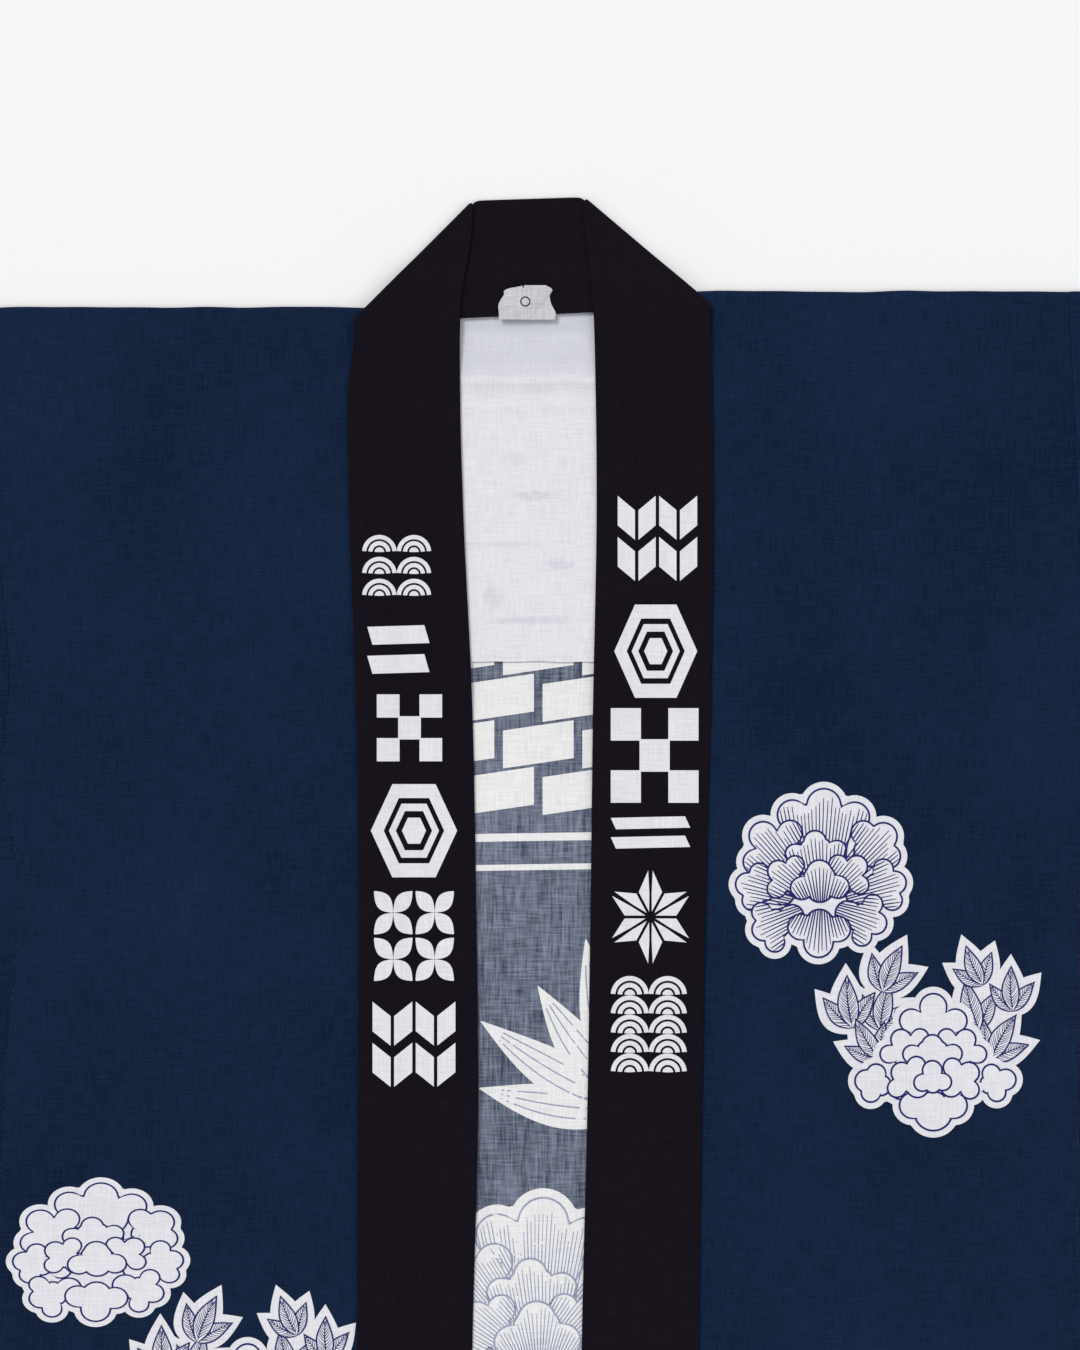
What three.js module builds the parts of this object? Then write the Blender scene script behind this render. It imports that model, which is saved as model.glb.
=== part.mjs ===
// A happi coat laid flat on its back, with both fronts on top of it. Millimetres.
// +X is the wearer's left, +Y runs from the hem to the neck, and +Z is up from the surface the coat lies on.
// Heights are those of the middle of each wall of cloth. "down" is the distance below the shoulder fold.

import * as THREE from 'three';
import { mergeVertices } from 'three/addons/utils/BufferGeometryUtils.js';

// ---- driving sizes ----
const cloth = 1.0;             // one layer of cotton
const bandCloth = 2.0;         // the collar band: cloth doubled and pressed
const gap = 0.3;               // clearance at seams and between layers
const bodyLength = 850;        // shoulder fold to hem
const cuffReach = 625;         // centre of the coat to the mouth of each sleeve
const sleeveDrop = 323;        // shoulder fold to underarm
const neckHalf = 92;           // half of the neck slit, where it meets the shoulder fold
const neckDrop = 2;            // back neck edge below the shoulder fold
const frontTuck = 12;          // how far a front's edge is tucked under the collar
const liningTop = 3;           // the yoke lining starts this far below the shoulder fold
const liningHem = 208;         // and ends here
const liningHalf = 286;        // half of its width
const liningSettle = 26;       // the fronts come down onto the back over this length past the lining
const bandLag = 8;             // the stiffer collar comes down this much later
const gussetTop = 16;          // folded width of a side gusset at the underarm
const gussetHem = 40;          // and at the hem

// ---- how finely the cloth is divided ----
const panelColumns = 7;        // across each front
const neckColumns = 4;         // across the neck slit
const bandColumns = 6;         // across the collar
const neckRowCount = 12;       // along the collar behind the neck
const turnSteps = 6;           // round each fold
const leastRow = 6;            // least distance between two rows down the cloth

// ---- heights of the layers ----
const backMid = cloth / 2;
const liningMid = backMid + cloth + gap;
const frontOnBack = backMid + cloth + gap;
const frontOnLining = liningMid + cloth + gap;

// Side edges of the body, where the sleeves and gussets are sewn: the cloth is pulled in at the right underarm.
const sideEdges = [
  { down: 0, right: -312, left: 313 },
  { down: 130, right: -308, left: 319 },
  { down: 218, right: -300.5, left: 321 },
  { down: 276, right: -304, left: 321 },
  { down: 323, right: -296, left: 320 },
  { down: 450, right: -303, left: 319 },
  { down: 600, right: -309, left: 318 },
  { down: 850, right: -312, left: 318 },
];

// Edges of the collar down each front: the sewn outer edge and the folded inner edge, which lean in towards the hem.
const collarEdges = [
  { down: -60, rightOuter: -102, rightInner: -33.6, leftOuter: 106.7, leftInner: 34.2 },
  { down: 0, rightOuter: -102.5, rightInner: -39, leftOuter: 105, leftInner: 38 },
  { down: 60, rightOuter: -104.2, rightInner: -39.4, leftOuter: 106.7, leftInner: 39.6 },
  { down: 120, rightOuter: -103.5, rightInner: -37.7, leftOuter: 107, leftInner: 40 },
  { down: 230, rightOuter: -99.5, rightInner: -32.6, leftOuter: 105.6, leftInner: 38 },
  { down: 350, rightOuter: -98, rightInner: -30.2, leftOuter: 102.7, leftInner: 36.5 },
  { down: 460, rightOuter: -98.4, rightInner: -29, leftOuter: 100.6, leftInner: 34.8 },
  { down: 610, rightOuter: -99, rightInner: -32.5, leftOuter: 98.6, leftInner: 31.3 },
  { down: 850, rightOuter: -99, rightInner: -33, leftOuter: 98, leftInner: 31 },
];

// The diagonal folds where the collar turns over at each shoulder: the sewn edge's corner and the free edge's corner.
const collarFolds = {
  right: { sewn: [-102, -10.4], free: [-33.6, 58.2] },
  left: { sewn: [106.7, -1.0], free: [34.2, 60.4] },
};
const neckCrown = 2.4;         // the band's free edge rises this much behind the neck
const onShoulder = { from: 52, to: 74 };     // distance from the centre where the collar climbs onto the shoulders
const offShoulder = { from: 11, to: 30 };    // height above the shoulder fold where it comes down to the surface
const offNeck = { from: 13, to: 44 };        // distance down where a front's band comes down from the neck's
const offTuck = { from: 0.26, to: 0.42 };    // fraction of its width where the band steps down off the tucked front
const squareBy = 120;                        // distance down each front by which the band's rows lie square across it
const alignedBy = 45;                        // and by which its edges have left the fold for their own line

// Soft creases across the lining, between the two bands of the collar.
const liningCreases = [
  { down: 18, rise: 0.7, spread: 5 },
  { down: 44, rise: 1.1, spread: 8 },
  { down: 60, rise: 0.8, spread: 6 },
  { down: 96, rise: 0.4, spread: 12 },
];

// Soft creases across the fronts: middle point, half length across, rise, spread, and slope (fall per unit across).
const frontCreases = [
  { across: -172, down: 168, half: 60, rise: 0.9, spread: 9, slope: -0.1 },
  { across: 245, down: 147, half: 70, rise: 0.8, spread: 10, slope: 0 },
  { across: 272, down: 115, half: 14, rise: 0.6, spread: 24, slope: 0.4 },
  { across: -215, down: 520, half: 60, rise: 0.7, spread: 14, slope: 0.15 },
  { across: 200, down: 700, half: 70, rise: 0.8, spread: 16, slope: -0.12 },
];

// The tag's outline: its width from the right side to the left, at each height above the shoulder fold.
const tagRows = [
  { up: -10, right: -16.8, left: 15.6 },
  { up: -7, right: -16.8, left: 16.2 },
  { up: -0.6, right: -16.8, left: 13.4 },
  { up: 4, right: -14, left: 12.6 },
  { up: 8, right: -11, left: 13.6 },
  { up: 9.6, right: -3, left: 10.6 },
];

// ---- small helpers ----
const mix = (a, b, f) => a + (b - a) * f;
const ease = (from, to, at) => THREE.MathUtils.smoothstep(at, from, to);
const steps = (from, to, count) => Array.from({ length: count + 1 }, (_, i) => mix(from, to, i / count));
const downsOf = (table) => table.map((row) => row.down);

// Distances down for the rows of a piece, in order: all those of "kept", and those of "wanted" that aren't too near one.
function rowDowns(kept, wanted) {
  const rows = [...kept];
  for (const down of wanted) {
    if (rows.every((row) => Math.abs(row - down) >= leastRow)) rows.push(down);
  }
  return rows.sort((a, b) => a - b);
}

// A column of a table at a given distance down, in straight lines from row to row.
function readTable(table, column, down) {
  const next = table.findIndex((row) => row.down >= down);
  if (next === 0) return table[0][column];
  if (next < 0) return table[table.length - 1][column];
  const [a, b] = [table[next - 1], table[next]];
  return mix(a[column], b[column], (down - a.down) / (b.down - a.down));
}

// A wall of cloth as one closed solid. grid[i][j] is a point of its middle surface with its normal, and each is moved
// half the wall's thickness both ways. Cells for which skip(i, j) is true are left out, and every free edge is closed.
// A ring's last row of cells joins its first.
function clothWall(name, grid, thickness, material, { ring = false, skip = () => false } = {}) {
  const rows = grid.length;
  const columns = grid[0].length;
  const positions = [];
  for (const side of [-1, 1]) {
    for (const row of grid) {
      for (const point of row) {
        const offset = point.normal.clone().multiplyScalar((side * thickness) / 2);
        positions.push(...point.at.clone().add(offset).toArray());
      }
    }
  }
  const cellRows = ring ? rows : rows - 1;
  const kept = (i, j) => i >= 0 && j >= 0 && i < cellRows && j < columns - 1 && !skip(i, j);
  const cellAt = (i, j) => kept(ring ? (i + rows) % rows : i, j);
  const vertex = (i, j, upper) => (i % rows) * columns + j + (upper ? rows * columns : 0);
  const faces = [];
  const quad = (a, b, c, d) => faces.push(a, b, c, a, c, d);
  for (let i = 0; i < cellRows; i += 1) {
    for (let j = 0; j < columns - 1; j += 1) {
      if (!kept(i, j)) continue;
      const corners = [[i, j], [i + 1, j], [i + 1, j + 1], [i, j + 1]];
      const [a, b, c, d] = corners.map(([r, s]) => vertex(r, s, true));
      const [e, f, g, h] = corners.map(([r, s]) => vertex(r, s, false));
      quad(d, c, b, a);
      quad(e, f, g, h);
      if (!cellAt(i, j - 1)) quad(a, b, f, e);
      if (!cellAt(i + 1, j)) quad(b, c, g, f);
      if (!cellAt(i, j + 1)) quad(c, d, h, g);
      if (!cellAt(i - 1, j)) quad(d, a, e, h);
    }
  }
  const loose = new THREE.BufferGeometry();
  loose.setAttribute('position', new THREE.Float32BufferAttribute(positions, 3));
  loose.setIndex(faces);
  const geometry = mergeVertices(loose, 1e-4);
  geometry.computeVertexNormals();
  const mesh = new THREE.Mesh(geometry, material);
  mesh.name = name;
  return mesh;
}

const flatPoint = (x, y, z) => ({ at: new THREE.Vector3(x, y, z), normal: new THREE.Vector3(0, 0, 1) });

// A point on a fold: the cloth leaves the lower layer at angle 0, rolls outwards along (outX, outY) and comes back on top
// at angle pi. The normal points to the middle of the roll, so it is up below and down above.
function foldPoint(x, y, low, radius, outX, outY, angle) {
  const normal = new THREE.Vector3(-outX * Math.sin(angle), -outY * Math.sin(angle), Math.cos(angle));
  const at = new THREE.Vector3(x, y, low + radius).addScaledVector(normal, -radius);
  return { at, normal };
}

const turnedOver = (x, y, z) => ({ at: new THREE.Vector3(x, y, z), normal: new THREE.Vector3(0, 0, -1) });

// ---- heights that depend on the place ----
const settleStart = liningHem + 4;
const pastLining = (down) => ease(settleStart, settleStart + liningSettle, down);
const frontBase = (down) => mix(frontOnLining, frontOnBack, pastLining(down));

function frontHeight(x, down) {
  let height = frontBase(down);
  for (const crease of frontCreases) {
    const along = (x - crease.across) / crease.half;
    const away = (down - crease.down - crease.slope * (x - crease.across)) / crease.spread;
    height += crease.rise * Math.exp(-(along ** 4) - away ** 2);
  }
  return height;
}

function liningHeight(x, down) {
  const between = Math.exp(-((x / 27) ** 6));
  return liningCreases.reduce(
    (height, crease) => height + crease.rise * between * Math.exp(-(((down - crease.down) / crease.spread) ** 2)),
    liningMid,
  );
}

// The underside of the collar's lower layer: on the lining at the neck, on the shoulders at its two corners, and down on
// the surface above the shoulder fold.
function neckBase(x, y) {
  const aboveLining = liningMid + cloth / 2 + gap;
  const aboveShoulder = frontOnLining + cloth / 2 + gap;
  const seat = mix(aboveLining, aboveShoulder, ease(onShoulder.from, onShoulder.to, Math.abs(x)));
  return seat * (1 - ease(offShoulder.from, offShoulder.to, y));
}

// ---- materials ----
const finish = (color, roughness) => new THREE.MeshStandardMaterial({ color, roughness, metalness: 0 });
const navyCotton = finish(0x16294a, 0.9);
const collarCotton = finish(0x18121c, 0.85);
const liningCotton = finish(0xe6e6ea, 0.9);
const tagCotton = finish(0xd8d8de, 0.9);

// ---- body: back and fronts in one length of cloth, folded over the shoulders ----
const shoulderRadius = (frontOnLining - backMid) / 2;

function frontEdge(side, down) {
  const inward = side === 'left' ? -1 : 1;
  const outer = readTable(collarEdges, `${side}Outer`, down);
  return mix(inward * -neckHalf, outer + inward * frontTuck, ease(12, 60, down));
}

function bodyAcross(down) {
  const rightFront = frontEdge('right', down);
  const leftFront = frontEdge('left', down);
  return [
    ...steps(readTable(sideEdges, 'right', down), rightFront, panelColumns),
    ...steps(rightFront, leftFront, neckColumns).slice(1, -1),
    ...steps(leftFront, readTable(sideEdges, 'left', down), panelColumns),
  ];
}

function buildBody() {
  const seams = downsOf(sideEdges).filter((down) => down > 0);
  const backDowns = rowDowns([neckDrop, ...seams], [30, 60, 385, 525, 700]).reverse();
  const foldAngles = steps(0, Math.PI, turnSteps);
  const aboutCreases = frontCreases.flatMap(({ down, spread }) => [down, down - spread, down + spread]);
  const aboutStep = steps(settleStart, settleStart + liningSettle, 3);
  const frontDowns = rowDowns(seams, [...aboutStep, ...aboutCreases, 30, 60, 95, 385]);
  const backRows = backDowns.map((down) => bodyAcross(down).map((x) => flatPoint(x, -down, backMid)));
  const foldRows = foldAngles.map((angle) =>
    bodyAcross(0).map((x) => foldPoint(x, 0, backMid, shoulderRadius, 0, 1, angle)));
  const frontRows = frontDowns.map((down) =>
    bodyAcross(down).map((x) => turnedOver(x, -down, frontHeight(x, down))));
  const neckRow = backRows.length - 1;
  const open = (i, j) => i >= neckRow && j >= panelColumns && j < panelColumns + neckColumns;
  return clothWall('body', [...backRows, ...foldRows, ...frontRows], cloth, navyCotton, { skip: open });
}

// ---- sleeves: a flat tube, folded along the top and sewn along the bottom ----
function buildSleeve(side) {
  const outward = side === 'left' ? 1 : -1;
  const lengthFractions = [0, 0.04, 0.1, 0.2, 0.35, 0.55, 0.75, 0.9, 1];
  const hem = sleeveDrop - cloth / 2 - shoulderRadius;
  const flatDowns = [...downsOf(sideEdges).filter((down) => down < sleeveDrop), hem];
  const arcs = steps(0, Math.PI, turnSteps);

  const place = (fraction, down) => {
    const seam = readTable(sideEdges, side, down) + outward * gap;
    return mix(seam, outward * cuffReach, fraction);
  };
  const upper = (fraction, down) => mix(frontBase(down), frontOnBack, ease(0, 0.35, fraction));
  const roll = (fraction, down, outY, angle) => {
    const radius = (upper(fraction, down) - backMid) / 2;
    return foldPoint(place(fraction, down), -down, backMid, radius, 0, outY, angle);
  };
  const ringPoints = (down, layer) => lengthFractions.map((fraction) => {
    if (layer === 'low') return flatPoint(place(fraction, down), -down, backMid);
    return turnedOver(place(fraction, down), -down, upper(fraction, down));
  });
  const rows = [
    ...[...flatDowns].reverse().slice(1, -1).map((down) => ringPoints(down, 'low')),
    ...arcs.map((angle) => lengthFractions.map((fraction) => roll(fraction, flatDowns[0], 1, angle))),
    ...flatDowns.slice(1, -1).map((down) => ringPoints(down, 'high')),
    ...[...arcs].reverse().map((angle) => lengthFractions.map((fraction) => roll(fraction, hem, -1, angle))),
  ];
  const ordered = outward > 0 ? rows : rows.map((row) => [...row].reverse());
  return clothWall(`sleeve_${side}`, ordered, cloth, navyCotton, { ring: true });
}

// ---- side gussets: a strip folded lengthwise between the back and the front ----
function buildGusset(side) {
  const outward = side === 'left' ? 1 : -1;
  const radius = (frontOnBack - backMid) / 2;
  const downs = rowDowns([sleeveDrop + 2, ...downsOf(sideEdges).filter((down) => down > sleeveDrop)], [385, 525, 700]);
  const rows = downs.map((down) => {
    const seam = readTable(sideEdges, side, down) + outward * gap;
    const width = mix(gussetTop, gussetHem, (down - sleeveDrop) / (bodyLength - sleeveDrop));
    const edge = seam + outward * (width - radius - cloth / 2);
    const across = steps(seam, edge, 3).slice(0, -1);
    return [
      ...across.map((x) => flatPoint(x, -down, backMid)),
      ...steps(0, Math.PI, turnSteps).map((angle) => foldPoint(edge, -down, backMid, radius, outward, 0, angle)),
      ...[...across].reverse().map((x) => turnedOver(x, -down, frontOnBack)),
    ];
  });
  const ordered = outward > 0 ? rows : [...rows].reverse();
  return clothWall(`gusset_${side}`, [...ordered].reverse(), cloth, navyCotton);
}

// ---- collar: one doubled band, turned over on a diagonal at each shoulder ----
const bandRadius = (bandCloth + gap) / 2;

// The fold line's place at fraction f across the band, kept inside the outline by the roll of the fold.
function foldLine(side) {
  const { sewn, free } = collarFolds[side];
  const along = new THREE.Vector2(free[0] - sewn[0], free[1] - sewn[1]).normalize();
  const out = side === 'left' ? new THREE.Vector2(-along.y, along.x).negate() : new THREE.Vector2(-along.y, along.x);
  const inset = bandRadius + bandCloth / 2;
  const at = (f) => [mix(sewn[0], free[0], f) - out.x * inset, mix(sewn[1], free[1], f) - out.y * inset];
  return { out, at };
}

// Resting height of the band down a front: on the front's tucked edge at its sewn side, on the lining or the back inside.
function bandHeight(x, f, y) {
  const down = -y;
  const onFront = frontBase(down - bandLag) + cloth / 2 + gap;
  const inside = mix(liningMid, backMid, pastLining(down - bandLag)) + cloth / 2 + gap;
  const resting = mix(onFront, inside, ease(offTuck.from, offTuck.to, f)) + bandCloth / 2;
  const overNeck = neckBase(x, y) + bandCloth * 1.5 + gap;
  return mix(overNeck, resting, ease(offNeck.from, offNeck.to, down));
}

function buildCollar() {
  const across = steps(0, 1, bandColumns);
  const aboutStep = steps(settleStart + bandLag, settleStart + bandLag + liningSettle, 3);
  const bandDowns = rowDowns(downsOf(collarEdges).filter((down) => down > 0), [8, 20, 34, 48, 78, 96, ...aboutStep, 170, 300,
    720]);
  const turn = steps(0, Math.PI, turnSteps);

  const bandPoint = (side, line, down, f) => {
    const [foldX, foldY] = line.at(f);
    const y = foldY * (1 - ease(0, squareBy, down)) - down;
    const edgeX = mix(readTable(collarEdges, `${side}Outer`, -y), readTable(collarEdges, `${side}Inner`, -y), f);
    const x = mix(foldX, edgeX, ease(0, alignedBy, down));
    return turnedOver(x, y, bandHeight(x, f, y));
  };
  const foldRow = (line, angle) => across.map((f) => {
    const [x, y] = line.at(f);
    return foldPoint(x, y, neckBase(x, y) + bandCloth / 2, bandRadius, line.out.x, line.out.y, angle);
  });
  const right = foldLine('right');
  const left = foldLine('left');
  const neckRows = steps(0, 1, neckRowCount).slice(1, -1).map((g) => across.map((f) => {
    const [rightX, rightY] = right.at(f);
    const [leftX, leftY] = left.at(f);
    const x = mix(rightX, leftX, g);
    const y = mix(rightY, leftY, g) + neckCrown * f * Math.sin(Math.PI * g);
    return flatPoint(x, y, neckBase(x, y) + bandCloth / 2);
  }));
  const rows = [
    ...[...bandDowns].reverse().map((down) => across.map((f) => bandPoint('right', right, down, f))),
    ...[...turn].reverse().map((angle) => foldRow(right, angle)),
    ...neckRows,
    ...turn.map((angle) => foldRow(left, angle)),
    ...bandDowns.map((down) => across.map((f) => bandPoint('left', left, down, f))),
  ];
  return clothWall('collar', [...rows].reverse(), bandCloth, collarCotton);
}

// ---- yoke lining: inside the upper back, sewn in at the shoulders and neck, hemmed below ----
function buildLining() {
  const aboutCreases = liningCreases.flatMap(({ down, spread }) => [down, down - spread, down + spread]);
  const downs = rowDowns([liningTop, liningHem], [...aboutCreases, 30, 70, 130, 165]);
  const across = [-liningHalf, -140, -60, -30, -24, -14, 0, 14, 24, 30, 60, 140, liningHalf];
  const rows = downs.map((down) => across.map((x) => flatPoint(x, -down, liningHeight(x, down))));
  return clothWall('yoke_lining', [...rows].reverse(), cloth, liningCotton);
}

// ---- neck tag: lies on the collar behind the neck ----
function buildTag() {
  const rows = tagRows.map((row) => steps(row.right, row.left, 4).map((x) =>
    flatPoint(x, row.up, neckBase(x, row.up) + bandCloth + gap + cloth / 2)));
  return clothWall('neck_tag', rows, cloth, tagCotton);
}

// ---- the coat, with its origin under the middle of its outline ----
const coat = new THREE.Group();
coat.add(
  buildBody(),
  buildSleeve('left'),
  buildSleeve('right'),
  buildGusset('left'),
  buildGusset('right'),
  buildCollar(),
  buildLining(),
  buildTag(),
);
const outline = new THREE.Box3().setFromObject(coat);
const centre = outline.getCenter(new THREE.Vector3());
coat.position.set(-centre.x, -centre.y, -outline.min.z);

export default coat;
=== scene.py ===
# Happi coat laid flat with its fronts up. The scene is in metres; the tables here are in millimetres,
# measured on the coat: x runs towards the wearer's left, y up from the shoulder fold towards the neck,
# "down" is -y, z is the height.
import bpy
import numpy as np
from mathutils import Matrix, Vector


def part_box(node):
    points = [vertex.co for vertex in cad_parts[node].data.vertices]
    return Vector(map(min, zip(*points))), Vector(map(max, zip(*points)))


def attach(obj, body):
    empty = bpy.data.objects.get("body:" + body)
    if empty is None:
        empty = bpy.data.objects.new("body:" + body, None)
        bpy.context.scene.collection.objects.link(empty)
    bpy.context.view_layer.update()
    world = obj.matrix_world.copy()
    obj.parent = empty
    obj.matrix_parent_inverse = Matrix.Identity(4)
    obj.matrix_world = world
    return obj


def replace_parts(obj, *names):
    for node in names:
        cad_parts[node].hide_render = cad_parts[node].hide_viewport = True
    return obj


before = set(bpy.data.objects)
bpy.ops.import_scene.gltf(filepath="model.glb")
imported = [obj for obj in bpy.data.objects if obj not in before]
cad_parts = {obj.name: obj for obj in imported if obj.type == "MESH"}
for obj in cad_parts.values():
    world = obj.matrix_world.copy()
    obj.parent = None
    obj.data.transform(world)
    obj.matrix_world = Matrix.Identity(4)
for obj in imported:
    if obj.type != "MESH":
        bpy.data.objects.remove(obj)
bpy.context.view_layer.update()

mm = 0.001
pi = np.pi

coat = {
    "length": 850,       # shoulder fold to hem
    "cuff": 625,         # centre to sleeve mouth
    "armhole": 323,      # shoulder fold to underarm
    "neckHalf": 92,      # half of the neck slit at the shoulder fold
    "neckDrop": 2,
    "tuck": 12,          # front edge hidden under the collar
    "wall": 1.0,         # the room each layer has
    "cloth": 0.5,        # what a layer measures
    "gap": 0.3,
    "liningHem": 208,
}
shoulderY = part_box("body")[0].y / mm + coat["length"]

layer = {"back": coat["wall"] / 2, "low": 0.34}  # middle of the lowest layer: as a solid, and as cloth
layer["lining"] = layer["back"] + coat["wall"] + coat["gap"]
layer["frontLow"] = layer["lining"]
layer["frontHigh"] = layer["lining"] + coat["wall"] + coat["gap"]

sideEdges = [
    {"down": 0, "right": -312, "left": 313},
    {"down": 130, "right": -308, "left": 319},
    {"down": 218, "right": -300.5, "left": 321},
    {"down": 276, "right": -304, "left": 321},
    {"down": 323, "right": -296, "left": 320},
    {"down": 450, "right": -303, "left": 319},
    {"down": 600, "right": -309, "left": 318},
    {"down": 850, "right": -312, "left": 318},
]
collarEdges = [
    {"down": -60, "rightOuter": -102, "rightInner": -33.6, "leftOuter": 106.7, "leftInner": 34.2},
    {"down": 0, "rightOuter": -102.5, "rightInner": -39, "leftOuter": 105, "leftInner": 38},
    {"down": 60, "rightOuter": -104.2, "rightInner": -39.4, "leftOuter": 106.7, "leftInner": 39.6},
    {"down": 120, "rightOuter": -103.5, "rightInner": -37.7, "leftOuter": 107, "leftInner": 40},
    {"down": 230, "rightOuter": -99.5, "rightInner": -32.6, "leftOuter": 105.6, "leftInner": 38},
    {"down": 350, "rightOuter": -98, "rightInner": -30.2, "leftOuter": 102.7, "leftInner": 36.5},
    {"down": 460, "rightOuter": -98.4, "rightInner": -29, "leftOuter": 100.6, "leftInner": 34.8},
    {"down": 610, "rightOuter": -99, "rightInner": -32.5, "leftOuter": 98.6, "leftInner": 31.3},
    {"down": 850, "rightOuter": -99, "rightInner": -33, "leftOuter": 98, "leftInner": 31},
]


# ---------- camera, lights and floor
def addCamera():
    view = {"middle": (7, -215.8), "height": 783, "distance": 3000, "sensor": 36}
    data = bpy.data.cameras.new("camera")
    data.sensor_width = view["sensor"]
    data.lens = view["sensor"] * view["distance"] / view["height"]  # the frame's long side covers "height"
    camera = bpy.data.objects.new("camera", data)
    camera.location = (view["middle"][0] * mm, (view["middle"][1] + shoulderY) * mm, view["distance"] * mm)
    bpy.context.scene.collection.objects.link(camera)
    bpy.context.scene.camera = camera


def addLight(name, aim, power, softness, colour=(1, 1, 1)):
    # a distant light shining along "aim", its disc "softness" degrees wide
    data = bpy.data.lights.new(name, "SUN")
    data.energy, data.angle, data.color = power, np.radians(softness), colour
    light = bpy.data.objects.new(name, data)
    light.location = (0, 0, 3)
    light.rotation_euler = (np.arctan2(np.hypot(aim[0], aim[1]), -aim[2]), 0, np.arctan2(-aim[0], aim[1]))
    bpy.context.scene.collection.objects.link(light)


def addStudio():
    scene = bpy.context.scene
    scene.view_settings.view_transform = "Standard"
    world = bpy.data.worlds.new("studio")
    world.use_nodes = True
    world.node_tree.nodes["Background"].inputs["Color"].default_value = (0.95, 0.95, 0.97, 1)
    world.node_tree.nodes["Background"].inputs["Strength"].default_value = 0.60
    scene.world = world
    addLight("keySun", (0.55, -0.75, -1.0), 1.75, 22)
    addLight("fillSun", (-0.8, 0.4, -1.0), 0.35, 40)


addCamera()
addStudio()
print("camera and lights")


# ---------- shader tools
class Wire:
    # one socket of a material, with arithmetic
    def __init__(self, tree, socket):
        self.tree, self.socket = tree, socket

    def math(self, operation, *values):
        node = self.tree.nodes.new("ShaderNodeMath")
        node.operation = operation
        for slot, value in zip(node.inputs, values):
            if isinstance(value, Wire):
                self.tree.links.new(value.socket, slot)
            else:
                slot.default_value = value
        return Wire(self.tree, node.outputs[0])

    def __add__(self, other):
        return self.math("ADD", self, other)

    def __sub__(self, other):
        return self.math("SUBTRACT", self, other)

    def __rsub__(self, other):
        return self.math("SUBTRACT", other, self)

    def __mul__(self, other):
        return self.math("MULTIPLY", self, other)

    def __truediv__(self, other):
        return self.math("DIVIDE", self, other)

    def __pow__(self, other):
        return self.math("POWER", self, other)

    __radd__, __rmul__ = __add__, __mul__

    def clamp(self):
        return self.math("MAXIMUM", self.math("MINIMUM", self, 1), 0)

    def sine(self):
        return self.math("SINE", self)

    def ramp(self, low, high):
        # 0 below low, 1 above high, smooth between: t * t * (3 - 2t)
        t = ((self - low) / (high - low)).clamp()
        return t * t * (3 - 2 * t)


class Finish:
    # a material on the principled shader; node() makes any other node
    def __init__(self, name, roughness, sheen, sheenTint=(1, 1, 1, 1)):
        self.material = bpy.data.materials.new(name)
        self.material.use_nodes = True
        self.tree = self.material.node_tree
        self.shader = self.tree.nodes["Principled BSDF"]
        self.shader.inputs["Roughness"].default_value = roughness
        self.shader.inputs["Sheen Weight"].default_value = sheen
        self.shader.inputs["Sheen Roughness"].default_value = 0.5
        self.shader.inputs["Sheen Tint"].default_value = sheenTint
        self.shader.inputs["Specular IOR Level"].default_value = 0.06

    def node(self, kind, settings=None, inputs=None, output=0):
        node = self.tree.nodes.new(kind)
        for key, value in (settings or {}).items():
            setattr(node, key, value)
        for key, value in (inputs or {}).items():
            if isinstance(value, Wire):
                self.tree.links.new(value.socket, node.inputs[key])
            else:
                node.inputs[key].default_value = value
        return Wire(self.tree, node.outputs[output])

    def split(self, vector):
        node = self.tree.nodes.new("ShaderNodeSeparateXYZ")
        self.tree.links.new(vector.socket, node.inputs[0])
        return [Wire(self.tree, socket) for socket in node.outputs]

    def feed(self, name, wire):
        self.tree.links.new(wire.socket, self.shader.inputs[name])

    def uv(self, scale=(1, 1)):
        # the cloth's own coordinates in millimetres, divided by "scale" each way
        raw = self.node("ShaderNodeUVMap", {"uv_map": "cloth"})
        factor = (1 / (mm * scale[0]), 1 / (mm * scale[1]), 1)
        return self.node("ShaderNodeVectorMath", {"operation": "MULTIPLY"}, {0: raw, 1: factor})

    def noise(self, vector, detail=2.0, rough=0.5, offset=0.0):
        moved = self.node("ShaderNodeVectorMath", {"operation": "ADD"},
                          {0: vector, 1: (offset, offset * 1.7, offset)})
        inputs = {"Vector": moved, "Scale": 1.0, "Detail": detail, "Roughness": rough}
        return self.node("ShaderNodeTexNoise", {}, inputs)

    def mix(self, mask, first, second):
        inputs = {"Factor": mask, 6: first, 7: second}
        return self.node("ShaderNodeMix", {"data_type": "RGBA"}, inputs, output=2)

    def bump(self, height, distance, strength=1.0):
        inputs = {"Height": height, "Distance": distance, "Strength": strength}
        self.feed("Normal", self.node("ShaderNodeBump", {}, inputs))


def colour(hexCode):
    # an sRGB colour as linear values
    parts = np.array([int(hexCode[i:i + 2], 16) for i in (0, 2, 4)]) / 255
    linear = np.where(parts <= 0.04045, parts / 12.92, ((parts + 0.055) / 1.055) ** 2.4)
    return (*linear.tolist(), 1.0)


# ---------- mesh tools
def ease(low, high, value):
    t = np.clip((value - low) / (high - low), 0, 1)
    return t * t * (3 - 2 * t)


def mix(a, b, f):
    return a + (b - a) * f


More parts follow.
